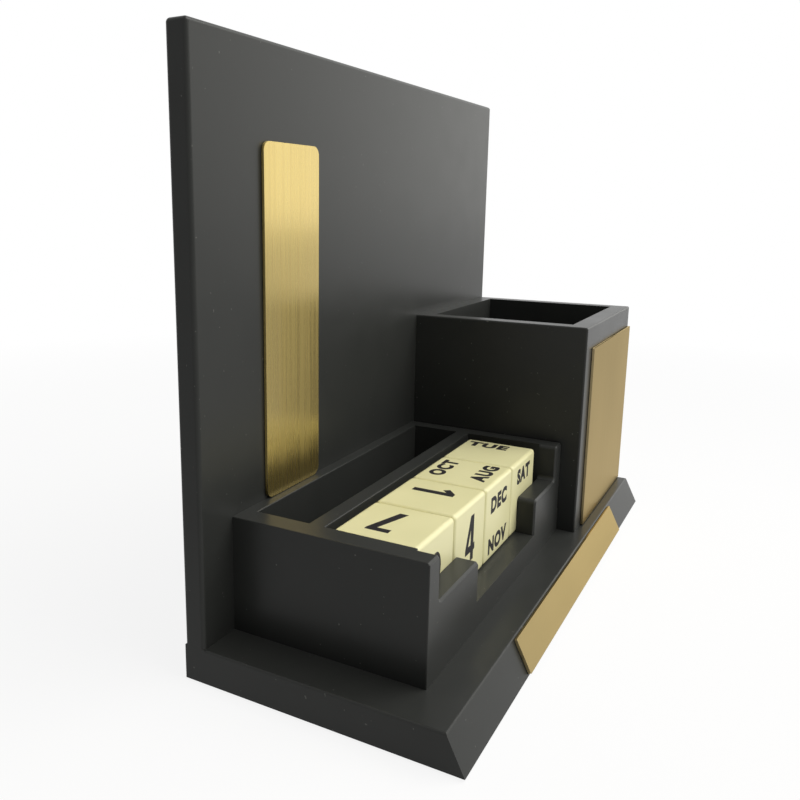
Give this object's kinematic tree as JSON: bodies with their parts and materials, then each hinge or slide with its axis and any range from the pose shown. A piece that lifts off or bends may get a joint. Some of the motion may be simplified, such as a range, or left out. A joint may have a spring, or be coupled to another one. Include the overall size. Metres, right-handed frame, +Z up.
{
  "type": "desk organizer with calendar cubes",
  "caption": "A black desk organizer on a bevelled base, with a back panel, a tray of lift-out calendar cubes, a card slot behind them, an open pen box and brass plates",
  "frame": {"origin": "on the desk surface, under the middle of the bounding box", "axes": "+Z up, front towards -Y, right towards +X"},
  "size_m": [0.248, 0.0988, 0.206],
  "materials": {
    "black_lacquered_wood": "black satin lacquer over wood board",
    "brushed_brass": "brass sheet brushed along its length, clear-coated",
    "adhesive_sheet": "thin double-sided foam adhesive",
    "dowel_wood": "plain beech dowels",
    "felt": "black felt",
    "cream_cube": "solid wood cubes in smooth cream paint with printed black characters"
  },
  "bodies": {
    "organizer": {"base_board": "black_lacquered_wood", "back_panel": "black_lacquered_wood", "tray_floor": "black_lacquered_wood", "tray_left_wall": "black_lacquered_wood", "tray_right_wall": "black_lacquered_wood", "tray_rear_wall": "black_lacquered_wood", "tray_divider": "black_lacquered_wood", "tray_left_shoulder": "black_lacquered_wood", "tray_right_shoulder": "black_lacquered_wood", "pen_box_front_wall": "black_lacquered_wood", "pen_box_rear_wall": "black_lacquered_wood", "pen_box_left_wall": "black_lacquered_wood", "pen_box_right_wall": "black_lacquered_wood", "panel_strip": "brushed_brass", "pen_box_plate": "brushed_brass", "bevel_plate": "brushed_brass", "panel_strip_adhesive": "adhesive_sheet", "pen_box_plate_adhesive": "adhesive_sheet", "bevel_plate_adhesive": "adhesive_sheet", "panel_dowels": "dowel_wood", "tray_dowels": "dowel_wood", "pen_box_dowels": "dowel_wood", "felt_sheet": "felt"},
    "digit_cube_left": {"digit_cube_left": "cream_cube"},
    "digit_cube_right": {"digit_cube_right": "cream_cube"},
    "month_cube": {"month_cube": "cream_cube"},
    "weekday_cube": {"weekday_cube": "cream_cube"}
  },
  "joints": [
    {"name": "digit_cube_left_lift", "type": "slide", "parent": "organizer", "child": "digit_cube_left", "axis": [0, 0, 1], "range_m": [0, 0.034]},
    {"name": "digit_cube_right_lift", "type": "slide", "parent": "organizer", "child": "digit_cube_right", "axis": [0, 0, 1], "range_m": [0, 0.034]},
    {"name": "month_cube_lift", "type": "slide", "parent": "organizer", "child": "month_cube", "axis": [0, 0, 1], "range_m": [0, 0.034]},
    {"name": "weekday_cube_lift", "type": "slide", "parent": "organizer", "child": "weekday_cube", "axis": [0, 0, 1], "range_m": [0, 0.034]}
  ]
}
